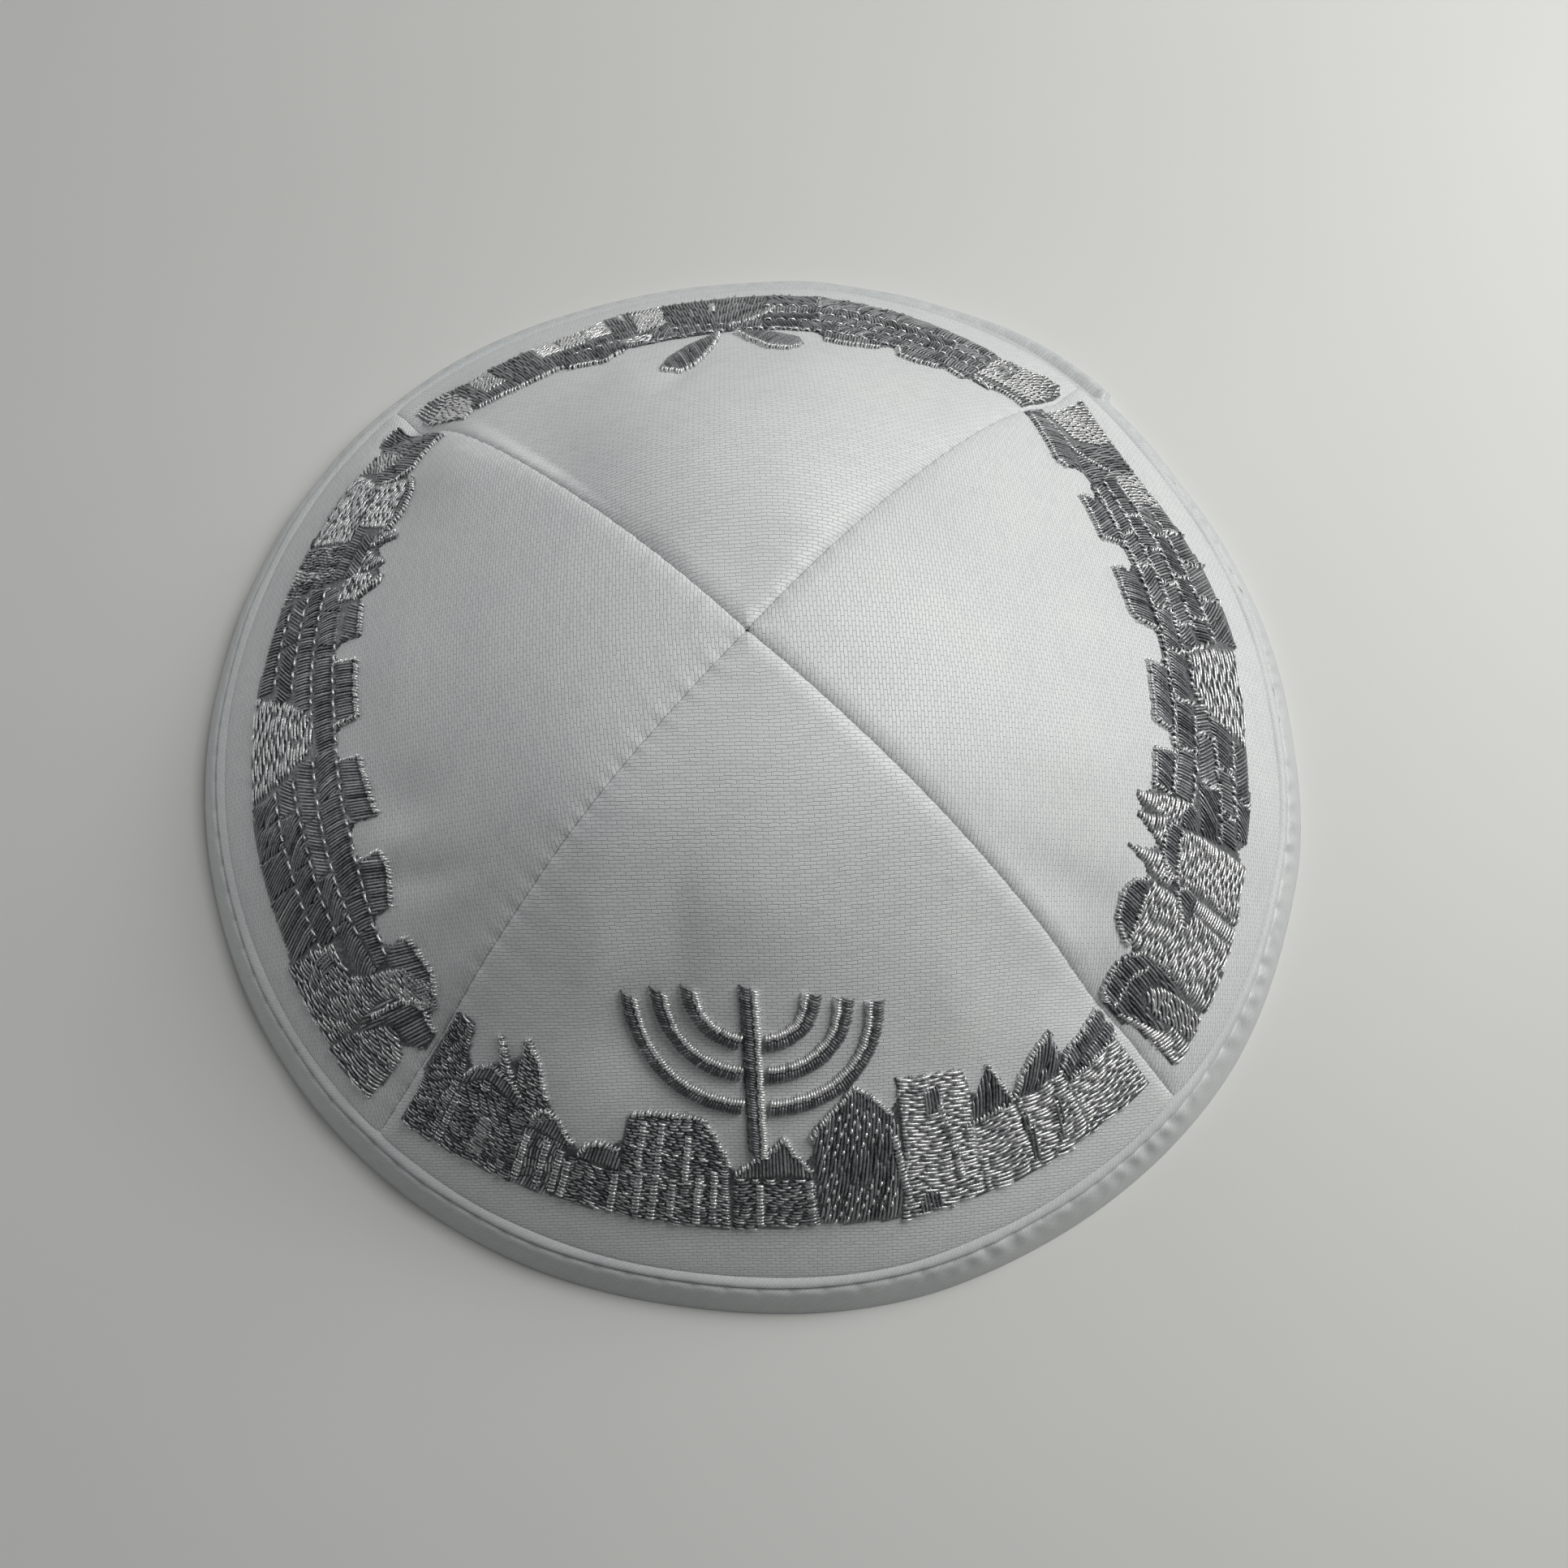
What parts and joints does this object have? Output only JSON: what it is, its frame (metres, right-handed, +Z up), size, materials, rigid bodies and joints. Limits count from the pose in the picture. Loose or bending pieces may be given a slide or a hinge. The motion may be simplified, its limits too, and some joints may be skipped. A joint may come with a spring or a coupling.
{
  "type": "kippah skullcap",
  "caption": "Shallow round skullcap of sewn satin gores with a bias-bound rim and raised metallic embroidery of a walled city and a menorah round its lower band.",
  "frame": {"origin": "middle of the rim on the surface that the cap rests on", "axes": "+Z up through the crown, -Y towards the front gore with the menorah, +X to the right in the picture"},
  "size_m": [0.1592, 0.1598, 0.0454],
  "materials": {
    "satin": "white duchesse satin, soft sheen along its floats",
    "binding_tape": "white satin bias tape, folded and stitched",
    "metallic_thread": "silver and gunmetal metallic embroidery thread, sparkling"
  },
  "bodies": {
    "root": {"gore_front": "satin", "gore_right": "satin", "gore_back": "satin", "gore_left": "satin", "rim_binding": "binding_tape", "skyline_front": "metallic_thread", "skyline_right": "metallic_thread", "skyline_back": "metallic_thread", "skyline_left": "metallic_thread", "menorah_stem": "metallic_thread", "menorah_arm_left_outer": "metallic_thread", "menorah_arm_left_middle": "metallic_thread", "menorah_arm_left_inner": "metallic_thread", "menorah_arm_right_outer": "metallic_thread", "menorah_arm_right_middle": "metallic_thread", "menorah_arm_right_inner": "metallic_thread", "palm_frond_left": "metallic_thread", "palm_frond_right": "metallic_thread"}
  },
  "joints": []
}
